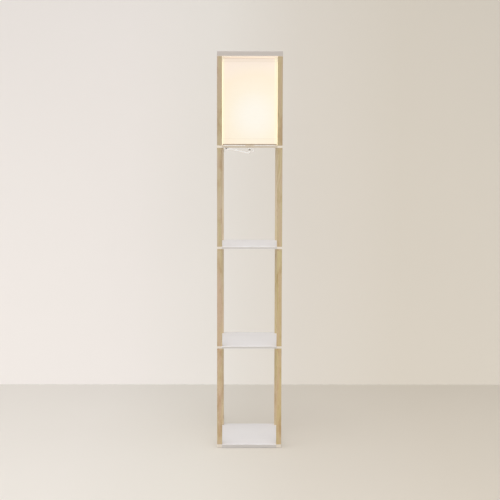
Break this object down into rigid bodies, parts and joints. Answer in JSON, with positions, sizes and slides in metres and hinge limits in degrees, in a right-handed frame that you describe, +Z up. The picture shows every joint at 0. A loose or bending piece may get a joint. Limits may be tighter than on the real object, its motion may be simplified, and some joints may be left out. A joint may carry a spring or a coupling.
{
  "type": "floor lamp",
  "caption": "Tall square shelf lamp: slender wooden corner posts, open shelves and a lit four-sided fabric shade under a thick top board, with a pull chain and a cord down the back.",
  "frame": {"origin": "on the floor under the centre of the square frame", "axes": "+X to the right seen from the front, +Y to the back, +Z up"},
  "size_m": [0.266, 0.403, 1.6],
  "materials": {
    "post_wood": "pale oak, satin lacquer",
    "top_board_wood": "pale washed oak, satin",
    "board_laminate": "pale off-white washed wood, satin",
    "zinc_steel": "zinc plated",
    "insert_brass": "plain machined",
    "pad_rubber": "matt",
    "fitting_steel": "zinc plated",
    "lampholder_brass": "satin",
    "liner_card": "pressed card",
    "holder_plastic": "moulded",
    "shell_aluminium": "plain",
    "chain_steel": "nickel plated",
    "frosted_glass": "frosted, lit",
    "bulb_plastic": "smooth",
    "shade_fabric": "fine linen weave on a translucent backing",
    "frame_wire": "white enamelled wire",
    "relief_plastic": "moulded",
    "cord_jacket": "soft sheath",
    "clip_plastic": "moulded",
    "dark_clip_plastic": "moulded",
    "plug_plastic": "moulded"
  },
  "bodies": {
    "lamp_frame": {"base_board": "board_laminate", "base_bolts": "zinc_steel", "bottom_post_front_left": "post_wood", "bottom_post_front_right": "post_wood", "bottom_post_rear_left": "post_wood", "bottom_post_rear_right": "post_wood", "bulb_body": "bulb_plastic", "bulb_contact": "shell_aluminium", "bulb_globe": "frosted_glass", "bulb_screw_cap": "shell_aluminium", "chain_eyelet": "lampholder_brass", "chain_guide": "lampholder_brass", "conductors": "cord_jacket", "cord_hank": "cord_jacket", "cord_lead_in": "cord_jacket", "cord_post_run": "cord_jacket", "cord_strain_relief": "relief_plastic", "cord_swag": "cord_jacket", "cord_tail": "cord_jacket", "cord_tie": "cord_jacket", "foot_pads": "pad_rubber", "hanger_bolts": "zinc_steel", "lamp_post_front_left": "post_wood", "lamp_post_front_right": "post_wood", "lamp_post_rear_left": "post_wood", "lamp_post_rear_right": "post_wood", "lamp_shelf": "board_laminate", "lower_shelf": "board_laminate", "middle_post_front_left": "post_wood", "middle_post_front_right": "post_wood", "middle_post_rear_left": "post_wood", "middle_post_rear_right": "post_wood", "middle_shelf": "board_laminate", "nipple": "fitting_steel", "nipple_locknuts": "fitting_steel", "nipple_washer": "fitting_steel", "plug_blades": "insert_brass", "plug_body": "plug_plastic", "post_cord_clips": "clip_plastic", "shade_clamp_ring": "holder_plastic", "shade_fabric": "shade_fabric", "shade_lower_frame": "frame_wire", "shade_upper_frame": "frame_wire", "shelf_cord_clip": "dark_clip_plastic", "socket_body": "holder_plastic", "socket_cap": "lampholder_brass", "socket_centre_contact": "insert_brass", "socket_liner": "liner_card", "socket_outer_shell": "lampholder_brass", "socket_screw_shell": "shell_aluminium", "terminal_screws": "insert_brass", "threaded_inserts": "insert_brass", "top_board": "top_board_wood", "upper_post_front_left": "post_wood", "upper_post_front_right": "post_wood", "upper_post_rear_left": "post_wood", "upper_post_rear_right": "post_wood"},
    "pull_switch": {"pull_chain": "chain_steel", "pull_bell": "chain_steel"}
  },
  "joints": [
    {"name": "chain_pull", "type": "slide", "parent": "lamp_frame", "child": "pull_switch", "axis": [0, 0, -1], "range_m": [0, 0.01], "stiffness_N_per_m": 300}
  ]
}
